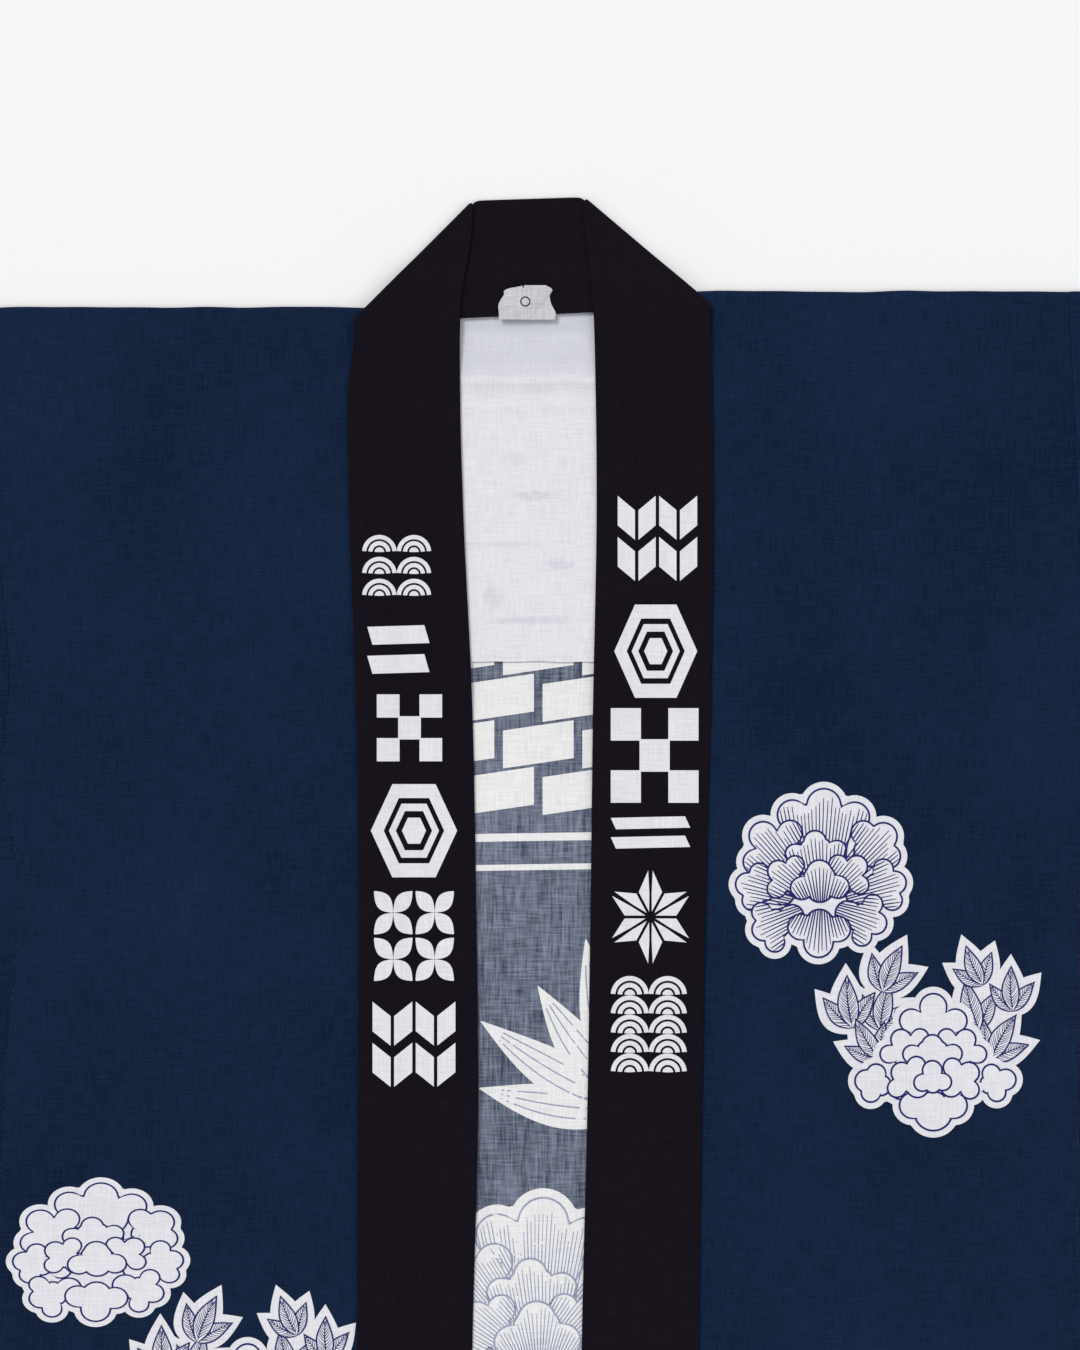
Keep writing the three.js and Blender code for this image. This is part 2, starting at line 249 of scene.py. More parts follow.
def along(table, column, down):
    # a smooth curve through a table's rows: cubic pieces, each row's slope being that between its neighbours
    at = np.array([row["down"] for row in table], float)
    value = np.array([row[column] for row in table], float)
    slope = np.gradient(value, at)
    i = np.clip(np.searchsorted(at, down) - 1, 0, len(at) - 2)
    span = at[i + 1] - at[i]
    t = np.clip((down - at[i]) / span, 0, 1)
    rise = (2 * t**3 - 3 * t**2 + 1) * value[i] + (3 * t**2 - 2 * t**3) * value[i + 1]
    return rise + span * ((t**3 - 2 * t**2 + t) * slope[i] + (t**3 - t**2) * slope[i + 1])


def toScene(points):
    return (np.asarray(points, float) + (0, shoulderY, 0)) * mm


def makeObject(name, points, faces, materials, uv=None, faceMaterial=None, sharp=50):
    # points in millimetres on the coat; uv, in metres, is one pair a point
    mesh = bpy.data.meshes.new(name)
    faces = np.asarray(faces, np.int32)
    mesh.vertices.add(len(points))
    mesh.vertices.foreach_set("co", toScene(points).astype(np.float32).ravel())
    mesh.loops.add(faces.size)
    mesh.loops.foreach_set("vertex_index", faces.ravel())
    mesh.polygons.add(len(faces))
    mesh.polygons.foreach_set("loop_start", np.arange(0, faces.size, faces.shape[1], dtype=np.int32))
    mesh.polygons.foreach_set("use_smooth", np.ones(len(faces), bool))
    if faceMaterial is not None:
        mesh.polygons.foreach_set("material_index", np.asarray(faceMaterial, np.int32))
    for material in materials:
        mesh.materials.append(material)
    mesh.update(calc_edges=True)
    mesh.validate()
    if uv is not None:
        mesh.uv_layers.new(name="cloth").data.foreach_set("uv", uv[faces.ravel()].astype(np.float32).ravel())
    mesh.set_sharp_from_angle(angle=np.radians(sharp))
    made = bpy.data.objects.new(name, mesh)
    bpy.context.scene.collection.objects.link(made)
    return made


def gridQuads(rows, columns, ring=False, first=0):
    # the quads of a grid of points; a ring's last row joins its first
    i, j = np.meshgrid(np.arange(rows if ring else rows - 1), np.arange(columns - 1), indexing="ij")
    i, j, below = i.ravel(), j.ravel(), ((i + 1) % rows).ravel()
    return first + np.stack([i * columns + j, below * columns + j,
                             below * columns + j + 1, i * columns + j + 1], 1)


def gridNormals(middle, ring=False):
    # cross product of the two directions of the grid, by central differences
    if ring:
        padded = np.concatenate([middle[-1:], middle, middle[:1]])
        downRows = np.gradient(padded, axis=0)[1:-1]
    else:
        downRows = np.gradient(middle, axis=0)
    normal = np.cross(downRows, np.gradient(middle, axis=1))
    return normal / np.maximum(np.linalg.norm(normal, axis=2, keepdims=True), 1e-9)


def clothSheet(name, middle, uv, materials, keep=None, ring=False, thick=None):
    # a closed thin shell: the middle surface moved half the cloth's thickness to both sides along its
    # normal, with a rim of quads wherever a kept cell has no kept neighbour; materials are those of the faces
    thick = coat["cloth"] if thick is None else thick
    rows, columns = middle.shape[:2]
    normal = gridNormals(middle, ring)
    points = np.concatenate([(middle + normal * thick / 2).reshape(-1, 3),
                             (middle - normal * thick / 2).reshape(-1, 3)])
    cellRows = rows if ring else rows - 1
    kept = np.ones((cellRows, columns - 1), bool) if keep is None else keep
    a, b, c, d = np.moveaxis(gridQuads(rows, columns, ring).reshape(cellRows, columns - 1, 4), 2, 0)
    under = rows * columns
    upper = np.stack([a, b, c, d], 2)[kept]
    lower = np.stack([d, c, b, a], 2)[kept] + under
    wide = np.pad(kept, ((0, 0), (1, 1)))
    tall = np.concatenate([kept[-1:], kept, kept[:1]]) if ring else np.pad(kept, ((1, 1), (0, 0)))
    rims = []
    for alone, start, end in ((~wide[:, :-2], a, b), (~tall[2:], b, c),
                              (~wide[:, 2:], c, d), (~tall[:-2], d, a)):
        here = kept & alone
        rims.append(np.stack([end[here], start[here], start[here] + under, end[here] + under], 1))
    rims = np.concatenate(rims)
    faces = np.concatenate([upper, lower, rims])
    faceMaterial = np.concatenate([np.zeros(len(upper)), np.ones(len(lower)),
                                   np.zeros(len(rims))]) % len(materials)
    used, faces = np.unique(faces, return_inverse=True)
    bothUv = np.concatenate([uv.reshape(-1, 2), uv.reshape(-1, 2)])
    return makeObject(name, points[used], faces.reshape(-1, 4), materials, bothUv[used], faceMaterial)


def steps(low, high, size):
    return np.linspace(low, high, max(2, int(round(abs(high - low) / size)) + 1))


def softNoise(x, y, seed, wave, count=9):
    # a sum of sine waves of seeded directions, with lengths about "wave", from -1 to 1 or so
    draw = np.random.default_rng(seed)
    total = np.zeros(np.broadcast(x, y).shape)
    for turn, stretch, phase in zip(draw.uniform(0, pi, count), draw.uniform(0.6, 1.6, count),
                                    draw.uniform(0, 6.3, count)):
        total = total + np.sin((x * np.cos(turn) + y * np.sin(turn)) * 2 * pi / (wave * stretch) + phase)
    return total / np.sqrt(count * 2)


# ---------- materials
def weave(finish, uv, depth, pitch=0.55):
    # height of a plain weave: threads over and under as a product of sines, with thick and thin stretches
    x, y, _ = finish.split(uv)
    cross = (x * (2 * pi / pitch)).sine() * (y * (2 * pi / pitch)).sine()
    warp = finish.noise(finish.uv((1.1, 14)), 1.0, 0.5, 3.0)
    weft = finish.noise(finish.uv((14, 1.1)), 1.0, 0.5, 8.0)
    finish.bump(cross * 0.25 + warp * 0.6 + weft * 0.6, depth * mm)
    return warp, weft


def cottonFinish(name, dark, light, rough=0.92, sheen=0.1, tint=(1, 1, 1, 1), contrast=1.0, fade=0.25,
                 depth=0.12, slub=0.0):
    # plain cotton: threads a little lighter and darker both ways, thick threads down the cloth where "slub"
    # asks for them, and wide soft patches of wear
    finish = Finish(name, rough, sheen, tint)
    warp, weft = weave(finish, finish.uv(), depth)
    patches = finish.noise(finish.uv((120, 160)), 3.0, 0.6, 5.0)
    mask = (warp + weft - 1) * contrast + 0.5 + (patches - 0.5) * fade * 2
    if slub:
        thick = finish.noise(finish.uv((3.2, 42)), 3.0, 0.65, 14.0)
        mask = mask + (thick - 0.5) * slub
    finish.feed("Base Color", finish.mix(mask.clamp(), colour(dark), colour(light)))
    return finish.material


navy = cottonFinish("navyCotton", "0a162b", "172945", sheen=0.06, tint=colour("5a74a8"),
                    contrast=0.9, fade=0.55)
collarCotton = cottonFinish("collarCotton", "0e0a11", "19131c", sheen=0.05, tint=colour("6a5a78"),
                            contrast=0.9)
reverse = cottonFinish("reverseCotton", "3c4457", "838a9c", contrast=1.2, fade=0.3, sheen=0.04, slub=1.6)
whitePrint = cottonFinish("whitePrint", "d2d2d8", "e6e6ea", contrast=1.2, fade=0.2, sheen=0.05, depth=0.08)
palePrint = cottonFinish("palePrint", "d8d8da", "eeeeec", contrast=1.2, fade=0.2, sheen=0.05, depth=0.08)
violetInk = cottonFinish("violetInk", "1c1d58", "2c2e70", contrast=1.0, fade=0.2, sheen=0.03, depth=0.05)
greyInk = cottonFinish("greyInk", "8489a4", "a9adc2", contrast=1.4, fade=0.2, sheen=0.03, depth=0.05)
tagCotton = cottonFinish("tagCotton", "bbbac1", "d3d2d7", contrast=1.4, fade=0.4, sheen=0.05)
penInk = cottonFinish("penInk", "23262e", "3a3f4a", contrast=1.0, fade=0.3, sheen=0.0, depth=0.03)
darkThread = cottonFinish("darkThread", "0a0910", "17151f", sheen=0.05)
navyThread = cottonFinish("navyThread", "0b1730", "16294c", sheen=0.05)
whiteThread = cottonFinish("whiteThread", "bdbdc4", "d6d6da", sheen=0.05)


def liningFinish():
    # thin white cotton; soft grey marks where the dyed back shows through it, and painted shade and painted
    # highlights at its top folds
    marks = [
        {"x": 4, "down": 112, "wide": 15, "tall": 3.0, "dark": 0.30},
        {"x": -14, "down": 140, "wide": 22, "tall": 1.8, "dark": 0.22},
        {"x": 18, "down": 152, "wide": 10, "tall": 3.6, "dark": 0.28},
        {"x": -20, "down": 172, "wide": 6, "tall": 8.0, "dark": 0.26},
        {"x": 2, "down": 184, "wide": 26, "tall": 2.6, "dark": 0.30},
        {"x": -8, "down": 90, "wide": 8, "tall": 4.5, "dark": 0.16},
    ]
    finish = Finish("liningCotton", 0.95, 0.05)
    warp, weft = weave(finish, finish.uv(), 0.08)
    x, y, _ = finish.split(finish.node("ShaderNodeTexCoord", {}, {}, output=3))
    x, down = x / mm, shoulderY - y / mm
    ragged = finish.noise(finish.uv((4, 4)), 3.0, 0.6, 1.0) - 0.5
    showThroughAndShade = None
    for mark in marks:
        # 1 in the middle of an ellipse, falling to 0 at its edge
        away = ((x - mark["x"]) / mark["wide"]) ** 2 + ((down - mark["down"]) / mark["tall"]) ** 2
        spot = (1.5 - away + ragged * 3.0).ramp(0.0, 1.6) * mark["dark"]
        showThroughAndShade = spot if showThroughAndShade is None else showThroughAndShade + spot
    threads = (warp + weft - 1) * 0.9 + 0.5
    plain = finish.mix(threads.clamp(), colour("d3d2d8"), colour("eae9ec"))
    # towards the neck the lining is darkened with painted shade where it falls into its top folds, and the
    # dark collar seam shows through there as well; painted highlights lighten the two soft folds that catch
    # the light
    wavy = down + finish.noise(finish.uv((26, 40)), 2.0, 0.5, 4.0) * 9 - 4.5
    showThroughAndShade = showThroughAndShade + (1 - wavy.ramp(34, 64)) * 0.34 + (1 - wavy.ramp(13, 21)) * 0.10
    # painted highlights along the two folds that catch the light
    for middle, wide, light in ((44, 3.0, 0.20), (60, 3.5, 0.16)):
        showThroughAndShade = showThroughAndShade - (1 - ((wavy - middle) / wide) ** 2).ramp(0, 1) * light
    finish.feed("Base Color", finish.mix(showThroughAndShade.clamp(), plain, colour("a9afbe")))
    return finish.material


liningCotton = liningFinish()
print("materials")


# ---------- body: back and fronts in one length, folded over the shoulders
frontCreases = [
    {"x": -172, "down": 168, "half": 62, "rise": 0.75, "spread": 5, "slope": -0.12},
    {"x": -230, "down": 182, "half": 50, "rise": -0.4, "spread": 9, "slope": -0.12},
    {"x": 245, "down": 147, "half": 74, "rise": 0.6, "spread": 5, "slope": 0.01},
    {"x": 272, "down": 115, "half": 9, "rise": 0.45, "spread": 26, "slope": 0.45},
    {"x": 294, "down": 5, "half": 4, "rise": 0.6, "spread": 9, "slope": 0.3},
    {"x": -215, "down": 520, "half": 60, "rise": 0.5, "spread": 10, "slope": 0.15},
    {"x": 200, "down": 700, "half": 70, "rise": 0.6, "spread": 12, "slope": -0.12},
    {"x": -280, "down": 305, "half": 9, "rise": -0.8, "spread": 34, "slope": 0.8},
    {"x": -150, "down": 690, "half": 80, "rise": -0.5, "spread": 14, "slope": 0.1},
    {"x": 270, "down": 430, "half": 12, "rise": 0.4, "spread": 60, "slope": -0.5},
]
backCreases = [
    {"x": 31, "down": 275, "half": 3.6, "rise": 0.9, "spread": 60, "slope": 0},
    {"x": 33, "down": 420, "half": 4.2, "rise": 0.6, "spread": 70, "slope": 0},
    {"x": -4, "down": 290, "half": 4.0, "rise": 0.35, "spread": 50, "slope": 0},
    {"x": -12, "down": 500, "half": 4.6, "rise": 0.4, "spread": 60, "slope": 0},
]


def creases(table, x, down):
    # each crease is a ridge or trough: it fades with the fourth power along its half length, and across it
    # as a bell
    total = np.zeros(np.broadcast(x, down).shape)
    for c in table:
        across = (down - c["down"] - c["slope"] * (x - c["x"])) / c["spread"]
        total = total + c["rise"] * np.exp(-(((x - c["x"]) / c["half"]) ** 4) - across**2)
    return total


def pastLining(down):
    return ease(coat["liningHem"] + 4, coat["liningHem"] + 30, down)


def frontBase(down):
    return mix(layer["frontHigh"], layer["frontLow"], pastLining(down))


def seamPucker(x, down):
    # beside the armhole and side seams the cloth dips and gathers in little ripples
    dip = 0.0
    for side, sign in (("left", 1), ("right", -1)):
        away = np.abs(x - along(sideEdges, side, down))
        ripple = np.sin(down / 3.4 + 1.3 * np.sin(down / 11)) + 0.6 * np.sin(down / 1.9)
        dip = dip - 0.45 * np.exp(-((away / 2.2) ** 2)) + 0.14 * ripple * np.exp(-((away / 7) ** 2))
    return dip


def frontHeight(x, down):
    relief = 0.16 * softNoise(x, down, 4, 85) + 0.05 * softNoise(x, down, 5, 26)
    hem = 0.3 * ease(coat["length"] - 24, coat["length"] - 20, down)
    edge = ease(0, 14, down)
    return frontBase(down) + relief * edge + creases(frontCreases, x, down) + seamPucker(x, down) + hem


def lean(x, down):
    # the coat lies a little askew: its shoulder fold is lower on the right side and higher on the left
    return mix(-4.2, 5.0, ease(-90, 90, x)) * (1 - ease(0, 320, down))


def backHeight(x, down):
    # flat where it rests; ripples stand up only inside, between the fronts
    inside = np.exp(-((x / 62) ** 6)) * ease(coat["liningHem"] - 6, coat["liningHem"] + 14, down)
    relief = 0.12 + 0.12 * softNoise(x, down, 9, 60)
    return layer["low"] + inside * (relief + creases(backCreases, x, down))


def frontEdge(side, down):
    inward = -1 if side == "left" else 1
    outer = along(collarEdges, side + "Outer", down)
    return mix(-inward * coat["neckHalf"], outer + inward * coat["tuck"], ease(12, 60, down))


def bodyColumns(down, panel, middle):
    # x of every column at each distance down: sides to front edges, and the stretch between the front edges
    right, left = frontEdge("right", down)[:, None], frontEdge("left", down)[:, None]
    outerRight, outerLeft = along(sideEdges, "right", down)[:, None], along(sideEdges, "left", down)[:, None]
    across, between = np.linspace(0, 1, panel + 1)[None], np.linspace(0, 1, middle + 1)[None]
    return np.concatenate([mix(outerRight, right, across), mix(right, left, between)[:, 1:-1],
                           mix(left, outerLeft, across)], 1)


def makeBody():
    panel, middle = 40, 90
    radius = (layer["frontHigh"] - layer["low"]) / 2
    backDown = steps(coat["length"], coat["neckDrop"], 7.5)
    turn = np.linspace(0, pi, 9)
    frontDown = np.concatenate([steps(5, 240, 5.0), steps(246, coat["length"], 7.0)])
    backX = bodyColumns(backDown, panel, middle)
    foldX = bodyColumns(np.zeros(len(turn)), panel, middle)
    frontX = bodyColumns(frontDown, panel, middle)
    foldY = np.broadcast_to(radius * np.sin(turn)[:, None], foldX.shape)
    wobble = 0.5 * softNoise(foldX, 0 * foldX, 12, 60)  # the shoulder line isn't quite straight
    foldZ = layer["low"] + radius * (1 - np.cos(turn))[:, None] + 0 * foldX
    back = np.stack([backX, -backDown[:, None] + 0 * backX, backHeight(backX, backDown[:, None])], 2)
    fold = np.stack([foldX, foldY + wobble * np.sin(turn)[:, None], foldZ], 2)
    front = np.stack([frontX, -frontDown[:, None] + 0 * frontX, frontHeight(frontX, frontDown[:, None])], 2)
    surface = np.concatenate([back, fold, front])
    surface[:, :, 1] += lean(surface[:, :, 0], -surface[:, :, 1])
    run = np.concatenate([-backDown, turn * radius, frontDown + pi * radius])
    uv = np.stack([surface[:, :, 0] * mm, np.broadcast_to(run[:, None] * mm, surface.shape[:2])], 2)
    keep = np.ones((len(surface) - 1, surface.shape[1] - 1), bool)
    keep[len(back) - 1:, panel:panel + middle] = False
    body = clothSheet("bodyCloth", surface, uv, [navy, reverse], keep)
    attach(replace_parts(body, "body"), "root")
    return body


body = makeBody()
print("body", len(body.data.polygons))


# ---------- sleeves: one rectangle each, folded along the top and sewn along the bottom
sleeveCreases = [
    {"x": 470, "down": 120, "half": 90, "rise": 0.7, "spread": 9, "slope": 0.25},
    {"x": 520, "down": 235, "half": 70, "rise": 0.5, "spread": 12, "slope": -0.3},
    {"x": -455, "down": 90, "half": 80, "rise": 0.6, "spread": 8, "slope": -0.2},
    {"x": -540, "down": 210, "half": 60, "rise": 0.7, "spread": 10, "slope": 0.35},
]


def sleeveTop(x, down):
    away = np.maximum(np.minimum(np.abs(x - along(sideEdges, "left", down)),
                                 np.abs(x - along(sideEdges, "right", down))), 0)
    level = mix(frontBase(down), layer["frontLow"], ease(0, 110, away))
    relief = 0.16 * softNoise(x, down, 21, 80) * ease(0, 14, down)
    hem = 0.25 * ease(coat["cuff"] - 22, coat["cuff"] - 18, np.abs(x))
    return level + relief + creases(sleeveCreases, x, down) + seamPucker(x, down) + hem


def makeSleeve(side):
    outward = 1 if side == "left" else -1
    bottom = coat["armhole"] - 1.2
    low = layer["low"]
    lowDown, topDown = steps(bottom, 4, 6)[1:-1], steps(4, bottom, 6)[1:-1]
    turn = np.linspace(0, pi, 9)
    down = np.concatenate([lowDown, 0 * turn, topDown, 0 * turn + bottom])[:, None]
    f = np.linspace(0, 1, 50)[None] ** 1.15
    seam = along(sideEdges, side, down) + outward * coat["gap"]
    x = mix(seam, outward * coat["cuff"], f)
    top = sleeveTop(x, down)
    radius = (top - low) / 2
    angle = np.concatenate([0 * lowDown, turn, 0 * topDown + pi, turn[::-1]])[:, None]
    bulge = np.concatenate([0 * lowDown, turn * 0 + 1, 0 * topDown, turn * 0 - 1])[:, None]
    y = -down + bulge * radius * np.sin(angle)
    z = low + radius * (1 - np.cos(angle))
    surface = np.stack([x, y + lean(x, -y), z], 2)
    run = np.concatenate([[0], np.cumsum(np.hypot(np.diff(y[:, 0]), np.diff(z[:, 0])))])[:, None]
    uv = np.stack([x * mm, (run + 0 * x) * mm], 2)
    if outward < 0:
        surface, uv = surface[:, ::-1], uv[:, ::-1]
    sleeve = clothSheet("sleeveCloth_" + side, surface, uv, [navy, reverse], ring=True)
    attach(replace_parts(sleeve, "sleeve_" + side), "root")
    return sleeve


# ---------- side gussets: a strip folded lengthwise between back and front
def makeGusset(side):
    gusset = {"top": 16, "hem": 40}
    outward = 1 if side == "left" else -1
    down = steps(coat["armhole"] - 0.5, coat["length"], 6)[:, None]
    low, radius = layer["low"], (layer["frontLow"] - layer["low"]) / 2
    width = mix(gusset["top"], gusset["hem"], (down - coat["armhole"]) / (coat["length"] - coat["armhole"]))
    seam = along(sideEdges, side, down) + outward * coat["gap"]
    reach = width - radius - coat["cloth"] / 2
    flat, turn = np.linspace(0, 1, 7)[:-1], np.linspace(0, pi, 9)
    out = np.concatenate([flat, 0 * turn + 1, flat[::-1]])[None]
    angle = np.concatenate([0 * flat, turn, 0 * flat + pi])[None]
    x = seam + outward * (reach * out + radius * np.sin(angle))
    z = low + radius * (1 - np.cos(angle)) + 0.5 * seamPucker(x, down) * (angle > 3)
    surface = np.stack([x, -down + 0 * x, z], 2)[:, ::-outward]
    uv = np.stack([np.broadcast_to(np.cumsum(np.ones(x.shape[1]))[None] * 4 * mm, x.shape),
                   -down * mm + 0 * x], 2)
    made = clothSheet("gussetCloth_" + side, surface, uv, [navy, reverse])
    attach(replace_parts(made, "gusset_" + side), "root")
    return made


for side in ("left", "right"):
    makeSleeve(side)
    makeGusset(side)
print("sleeves and gussets")


# ---------- collar: a doubled band, turned over on a diagonal at each shoulder
collar = {
    "right": {"sewn": (-102, -10.4), "free": (-33.6, 58.2)},
    "left": {"sewn": (106.7, -1.0), "free": (34.2, 60.4)},
    "wall": 2.0,          # the room the doubled band has
    "apart": 1.1,         # between the middles of its two layers
    "crown": 2.3,
    "squareBy": 120, "alignedBy": 45,
}


def neckBase(x, y):
    # underside of the band behind the neck: on the lining, up onto the shoulders, down past the shoulder fold
    room = coat["wall"] / 2 + coat["gap"]
    seat = mix(layer["lining"] + room, layer["frontHigh"] + room, ease(52, 74, np.abs(x)))
    return seat * (1 - ease(11, 30, y))


def bandRest(x, f, down):
    # middle height of the band down a front: up on the tucked front edge at its sewn side, then down inside
    room = coat["wall"] / 2 + coat["gap"]
    late = down - 8
    onFront = frontBase(late) + room
    inside = mix(layer["lining"], layer["back"], pastLining(late)) + room
    resting = mix(onFront, inside, ease(0.26, 0.42, f)) + collar["wall"] / 2
    over = neckBase(x, -down) + collar["wall"] * 1.5 + coat["gap"]
    relief = 0.1 * softNoise(x, down, 31, 70) + 0.05 * softNoise(x, down, 32, 22)
    return mix(over, resting, ease(13, 44, down)) + relief * ease(30, 60, down)


def foldLine(side, f):
    sewn, free = np.array(collar[side]["sewn"]), np.array(collar[side]["free"])
    ahead = (free - sewn) / np.linalg.norm(free - sewn)
    out = np.array([-ahead[1], ahead[0]]) * (-1 if side == "left" else 1)
    inset = (collar["wall"] + coat["gap"]) / 2 + collar["wall"] / 2
    return mix(sewn[0], free[0], f) - out[0] * inset, mix(sewn[1], free[1], f) - out[1] * inset, out


def bandXY(side, down, f):
    # a front's band: rows start on the slant of the fold and come square, edges follow the collar's own lines
    foldX, foldY, out = foldLine(side, f)
    y = foldY * (1 - ease(0, collar["squareBy"], down)) - down
    edge = mix(along(collarEdges, side + "Outer", -y), along(collarEdges, side + "Inner", -y), f)
    return mix(foldX, edge, ease(0, collar["alignedBy"], down)), y


def bandParts(f, lift):
    # the whole band as a grid: rows up the right front, round the neck and down the left front, columns as
    # in "f", each moved "lift" off the band's middle: towards its inner face behind the neck and its under
    # face on the fronts
    downs = np.concatenate([steps(2, 60, 4.0), steps(66, coat["length"], 6.5)])[:, None]
    turn = np.linspace(0, pi, 11)[:, None]
    radius = (collar["wall"] + coat["gap"]) / 2
    groups = []
    for side in ("right", "left"):
        x, y = bandXY(side, downs, f)
        z = bandRest(x, f, -y) - lift
        front = np.stack([x, y, z], 2)
        foldX, foldY, out = foldLine(side, f)
        low = neckBase(foldX, foldY) + collar["wall"] / 2
        spread = (radius - lift) * np.sin(turn)
        roll = np.stack([foldX + out[0] * spread, foldY + out[1] * spread,
                         low + radius - (radius - lift) * np.cos(turn)], 2)
        groups.append((roll, front))
    rightX, rightY, _ = foldLine("right", f)
    leftX, leftY, _ = foldLine("left", f)
    g = ((1 - np.cos(np.linspace(0, pi, 28))) / 2)[1:-1, None]
    x = mix(rightX, leftX, g)
    # the top edge is nearly straight, and rounds off quickly at its ends
    y = mix(rightY, leftY, g) + collar["crown"] * f * (1 - np.abs(2 * g - 1) ** 22)
    neck = np.stack([x, y, neckBase(x, y) + collar["wall"] / 2 + lift], 2)
    return np.concatenate([groups[0][1][::-1], groups[0][0][::-1], neck, groups[1][0], groups[1][1]])


def bandTop(x, y):
    # height of the top of a front's band at a place, for what is printed and sewn on it
    side = np.where(x > 0, 1, 0)
    outer = np.where(side, along(collarEdges, "leftOuter", -y), along(collarEdges, "rightOuter", -y))
    inner = np.where(side, along(collarEdges, "leftInner", -y), along(collarEdges, "rightInner", -y))
    f = np.clip((x - outer) / (inner - outer), 0, 1)
    return bandRest(x, f, -y) + bandLift(f) + coat["cloth"] / 2


def bandLift(f):
    # half the distance of the two layers: full in the middle, close together at the sewn edge, rolled at
    # the free one
    half = collar["apart"] / 2 * mix(0.55, 1, ease(0, 0.08, f))
    return half * np.sqrt(np.clip(1 - np.clip((f - 0.985) / 0.015, 0, 1) ** 2, 0, 1))


def makeCollar():
    flat = np.concatenate([[0, 0.012, 0.03, 0.055, 0.09], np.linspace(0.14, 0.94, 13), [0.965, 0.98]])
    roll = 0.985 + 0.015 * np.sin(np.linspace(0, pi / 2, 5))
    half = np.concatenate([flat, roll])
    f = np.concatenate([half, half[-2::-1]])[None]
    lift = bandLift(f) * np.concatenate([-np.ones(len(half)), np.ones(len(half) - 1)])[None]
    surface = bandParts(f, lift)
    width = 66.0
    run = np.concatenate([[0], np.cumsum(np.linalg.norm(np.diff(surface[:, 12], axis=0), axis=1))])[:, None]
    around = np.concatenate([half, 2 - half[-2::-1]])[None] * width
    uv = np.stack([around * mm + 0 * run, run * mm + 0 * around], 2)
    made = clothSheet("collarBand", surface, uv, [collarCotton, collarCotton])
    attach(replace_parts(made, "collar"), "root")
    return made


makeCollar()
print("collar")


# ---------- yoke lining inside the upper back
liningCreases = [
    {"x": 0, "down": 18, "half": 60, "rise": -0.55, "spread": 2.6, "slope": 0.0, "bow": 1.6},
    {"x": 0, "down": 27, "half": 60, "rise": 0.25, "spread": 6, "slope": 0.0, "bow": 1.0},
    {"x": 2, "down": 44, "half": 60, "rise": 0.95, "spread": 5.5, "slope": 0.02, "bow": 0.4},
    {"x": 8, "down": 59, "half": 50, "rise": 0.75, "spread": 4.5, "slope": -0.04, "bow": 0.2},
    {"x": -14, "down": 74, "half": 34, "rise": 0.3, "spread": 6, "slope": 0.05, "bow": 0.0},
    {"x": 6, "down": 98, "half": 46, "rise": 0.3, "spread": 12, "slope": -0.06, "bow": 0.0},
]


def liningHeight(x, down):
    bowed = sum(creases([c], x, down + c["bow"] * (x / 30) ** 2) for c in liningCreases)
    between = np.exp(-((x / 42) ** 8))
    return layer["lining"] - 0.1 + between * (bowed + 0.1 * softNoise(x, down, 41, 34))


def makeLining():
    lining = {"top": 3, "half": 286}
    down = np.concatenate([steps(lining["top"], 110, 2.0), steps(113, coat["liningHem"], 3.5)])[:, None]
    x = np.concatenate([steps(-lining["half"], -60, 12), steps(-56, 56, 2.6),
                        steps(60, lining["half"], 12)])[None]
    # the hem isn't quite straight
    wave = 0.5 * softNoise(x, 0 * x, 43, 30) * ease(150, coat["liningHem"], down)
    surface = np.stack([x + 0 * down, -down - wave, liningHeight(x, down)], 2)
    uv = np.stack([(x + 0 * down) * mm, (-down + 0 * x) * mm], 2)
    made = clothSheet("liningCloth", surface[::-1], uv[::-1], [liningCotton, liningCotton])
    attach(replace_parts(made, "yoke_lining"), "root")
    return made


makeLining()
print("lining")


# ---------- printing: flat shapes collected into one mesh, each a hair above the one before
class Print:
    def __init__(self, height, rise=0.012):
        self.height, self.rise = height, rise
        self.points, self.faces, self.count = [], [], 0

    def patch(self, x, y, level):
        # a grid of points, laid on the cloth at its place
        z = self.height(x, y) + level * self.rise
        self.points.append(np.stack([x, y, z], 2).reshape(-1, 3))
        self.faces.append(gridQuads(*x.shape, first=self.count))
        self.count += x.size

    def ribbon(self, x, y, width, level):
        # lines as rows of points, widened to both sides of their run
        dx, dy = np.gradient(x, axis=-1), np.gradient(y, axis=-1)
        size = np.maximum(np.hypot(dx, dy), 1e-6)
        offX, offY = -dy / size * width / 2, dx / size * width / 2
        for k in range(len(x)):
            self.patch(np.stack([x[k] + offX[k], x[k] - offX[k]], 1),
                       np.stack([y[k] + offY[k], y[k] - offY[k]], 1), level)

    def make(self, name, material, slot, facing=1):
        points, faces = np.concatenate(self.points), np.concatenate(self.faces)
        a, b, d = (points[faces[:, i], :2] for i in (0, 1, 3))
        turned = facing * ((b - a)[:, 0] * (d - a)[:, 1] - (b - a)[:, 1] * (d - a)[:, 0]) < 0
        faces[turned] = faces[turned][:, ::-1]
        made = makeObject(name, points, faces, [material], points[:, :2] * mm)
        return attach(made, "root")


def disc(count):
    # a square grid bent round: radius is the larger of |u| and |v|, the angle is the point's own
    u, v = np.meshgrid(np.linspace(-1, 1, count), np.linspace(-1, 1, count))
    return np.maximum(np.abs(u), np.abs(v)), np.arctan2(v, u)


def petalLobes(turn, reach, lobe, aside, asideReach):
    # the circles that make a petal, from the flower's focus: tip, two sides, heart and root
    angle = np.radians([turn, turn - aside, turn + aside, turn, turn])
    wide = reach * asideReach * np.sin(np.radians(aside))
    far = reach * np.array([1, asideReach, asideReach, 0.78, 0.5])
    radius = np.array([lobe, lobe * 0.88, lobe * 0.88, max(wide, lobe) * 0.95, max(wide, lobe) * 0.8])
    return far * np.cos(angle), far * np.sin(angle), radius


